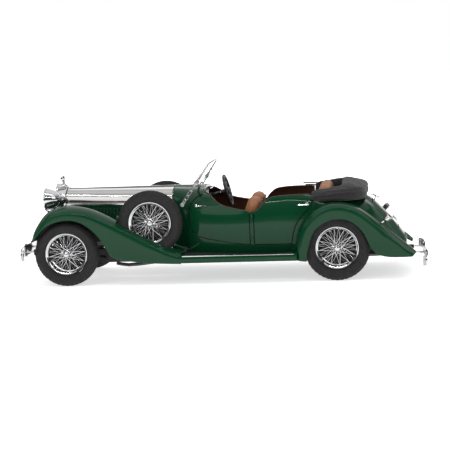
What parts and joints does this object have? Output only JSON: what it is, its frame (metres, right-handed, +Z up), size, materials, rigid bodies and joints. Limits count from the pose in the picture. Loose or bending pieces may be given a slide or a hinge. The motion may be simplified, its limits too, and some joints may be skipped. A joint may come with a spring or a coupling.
{
  "type": "diecast collector car",
  "caption": "Scale model of an open pre-war four-seat touring car with working doors, bonnet, boot, folding windscreen, steering and rolling wheels.",
  "frame": {"origin": "centre of the footprint at ground level, under the middle of the car's length and width", "axes": "-X towards the nose, -Y towards the car's left side, +Z up"},
  "size_m": [0.2056, 0.073, 0.0587],
  "materials": {
    "green_paint": "deep glossy enamel",
    "chrome": "bright plate",
    "polished_aluminium": "mirror polish",
    "tyre_rubber": "matt black",
    "tan_leather": "satin hide",
    "black_plastic": "satin black",
    "black_metal": "satin black enamel",
    "engine_grey": "dull metallic grey",
    "lamp_glass": "clear, fluted",
    "screen_glass": "clear",
    "hood_cloth": "black duck cloth",
    "tail_lamp_red": "red lens in a plated case"
  },
  "bodies": {
    "car": {"chassis_frame": "black_metal", "body_tub": "green_paint", "engine_block": "engine_grey", "rocker_cover": "engine_grey", "exhaust_pipe": "engine_grey", "rear_axle_casing": "black_metal", "front_axle": "black_metal", "front_wing_left": "green_paint", "front_wing_right": "green_paint", "rear_wing_left": "green_paint", "rear_wing_right": "green_paint", "running_board_left": "green_paint", "running_board_right": "green_paint", "headlamp_left": "chrome", "headlamp_right": "chrome", "headlamp_lens_left": "lamp_glass", "headlamp_lens_right": "lamp_glass", "tail_lamp_left": "tail_lamp_red", "tail_lamp_right": "tail_lamp_red", "spare_tyre_left": "tyre_rubber", "spare_tyre_right": "tyre_rubber", "spare_wheel_left": "chrome", "spare_wheel_right": "chrome", "front_seat_left": "tan_leather", "front_seat_right": "tan_leather", "screen_stanchion_left": "chrome", "screen_stanchion_right": "chrome", "radiator_shell": "chrome", "radiator_grille": "black_plastic", "radiator_mascot": "chrome", "front_bumper": "chrome", "rear_bumper": "chrome", "dashboard": "black_plastic", "steering_column": "black_plastic", "rear_seat": "tan_leather", "folded_hood": "hood_cloth"},
    "rear_wheels": {"rear_axle": "engine_grey", "tyre_rear_left": "tyre_rubber", "tyre_rear_right": "tyre_rubber", "wheel_rear_left": "chrome", "wheel_rear_right": "chrome"},
    "tie_rod": {"tie_rod": "black_metal"},
    "steering_wheel": {"steering_wheel": "black_plastic"},
    "boot_lid": {"boot_lid": "green_paint"},
    "windscreen": {"windscreen_frame": "chrome", "windscreen_glass": "screen_glass"},
    "knuckle_left": {"steering_knuckle_left": "black_metal"},
    "front_wheel_left": {"wheel_front_left": "chrome", "tyre_front_left": "tyre_rubber"},
    "door_front_left": {"door_front_left": "green_paint"},
    "door_rear_left": {"door_rear_left": "green_paint"},
    "bonnet_left": {"bonnet_top_left": "polished_aluminium", "bonnet_side_left": "green_paint"},
    "knuckle_right": {"steering_knuckle_right": "black_metal"},
    "front_wheel_right": {"wheel_front_right": "chrome", "tyre_front_right": "tyre_rubber"},
    "door_front_right": {"door_front_right": "green_paint"},
    "door_rear_right": {"door_rear_right": "green_paint"},
    "bonnet_right": {"bonnet_top_right": "polished_aluminium", "bonnet_side_right": "green_paint"}
  },
  "joints": [
    {"name": "steer_left", "type": "hinge", "parent": "car", "child": "knuckle_left", "pos_m": [-0.07645, -0.024, 0.0161], "axis": [0, 0, 1], "range_deg": [-20, 20]},
    {"name": "front_wheel_left_spin", "type": "hinge", "parent": "knuckle_left", "child": "front_wheel_left", "pos_m": [-0.07645, -0.0299, 0.0161], "axis": [0, 1, 0], "continuous": true},
    {"name": "door_front_left_swing", "type": "hinge", "parent": "car", "child": "door_front_left", "pos_m": [0.01535, -0.03045, 0.026], "axis": [0, 0, 1], "range_deg": [0, 65]},
    {"name": "door_rear_left_swing", "type": "hinge", "parent": "car", "child": "door_rear_left", "pos_m": [0.01745, -0.03045, 0.026], "axis": [0, 0, -1], "range_deg": [0, 65]},
    {"name": "bonnet_left_lift", "type": "hinge", "parent": "car", "child": "bonnet_left", "pos_m": [-0.05225, 0, 0.0466], "axis": [-1, 0, 0], "range_deg": [0, 62]},
    {"name": "steer_right", "type": "hinge", "parent": "car", "child": "knuckle_right", "pos_m": [-0.07645, 0.024, 0.0161], "axis": [0, 0, 1], "range_deg": [-20, 20]},
    {"name": "front_wheel_right_spin", "type": "hinge", "parent": "knuckle_right", "child": "front_wheel_right", "pos_m": [-0.07645, 0.0299, 0.0161], "axis": [0, 1, 0], "continuous": true},
    {"name": "door_front_right_swing", "type": "hinge", "parent": "car", "child": "door_front_right", "pos_m": [0.01535, 0.03045, 0.026], "axis": [0, 0, -1], "range_deg": [0, 65]},
    {"name": "door_rear_right_swing", "type": "hinge", "parent": "car", "child": "door_rear_right", "pos_m": [0.01745, 0.03045, 0.026], "axis": [0, 0, 1], "range_deg": [0, 65]},
    {"name": "bonnet_right_lift", "type": "hinge", "parent": "car", "child": "bonnet_right", "pos_m": [-0.05225, 0, 0.0466], "axis": [1, 0, 0], "range_deg": [0, 62]},
    {"name": "rear_wheels_spin", "type": "hinge", "parent": "car", "child": "rear_wheels", "pos_m": [0.05795, 0, 0.0161], "axis": [0, 1, 0], "continuous": true},
    {"name": "boot_lid_drop", "type": "hinge", "parent": "car", "child": "boot_lid", "pos_m": [0.08845, 0, 0.0236], "axis": [0, 1, 0], "range_deg": [0, 75]},
    {"name": "windscreen_fold", "type": "hinge", "parent": "car", "child": "windscreen", "pos_m": [-0.01125, 0, 0.049], "axis": [0, 1, 0], "range_deg": [-110, 0]},
    {"name": "steering_wheel_turn", "type": "hinge", "parent": "car", "child": "steering_wheel", "pos_m": [0.00215, 0.0115, 0.0422], "axis": [0.9703, 0, 0.2419], "range_deg": [-100, 100]},
    {"name": "tie_rod_shift", "type": "slide", "parent": "car", "child": "tie_rod", "axis": [0, 1, 0], "range_m": [-0.0024, 0.0024]}
  ],
  "couplings": [
    {"joint": "steer_right", "follows": "steer_left", "ratio": 1},
    {"joint": "tie_rod_shift", "follows": "steer_left", "m_per_rad": 0.0067},
    {"joint": "steering_wheel_turn", "follows": "steer_left", "ratio": 5}
  ]
}
